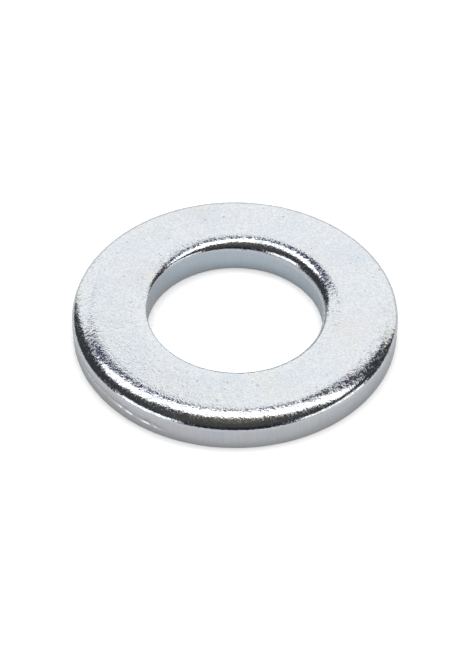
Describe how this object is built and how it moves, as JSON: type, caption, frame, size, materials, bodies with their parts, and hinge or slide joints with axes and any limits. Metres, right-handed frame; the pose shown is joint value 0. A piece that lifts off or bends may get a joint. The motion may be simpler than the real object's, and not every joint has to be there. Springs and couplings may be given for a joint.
{
  "type": "flat washer",
  "caption": "Thick flat ring with a central clearance bore and rounded top edges on the rim and the bore, for spreading a bolt's clamping load.",
  "frame": {"origin": "on the washer's axis, in its bottom face", "axes": "+Z along the axis, towards the face with the rounded edges"},
  "size_m": [0.024, 0.024, 0.0025],
  "materials": {
    "zinc_plated_steel": "bright zinc plate with a clear blue passivation, fine grained on the faces and smooth on the rounded edges"
  },
  "bodies": {
    "root": {"flat_washer": "zinc_plated_steel"}
  },
  "joints": []
}
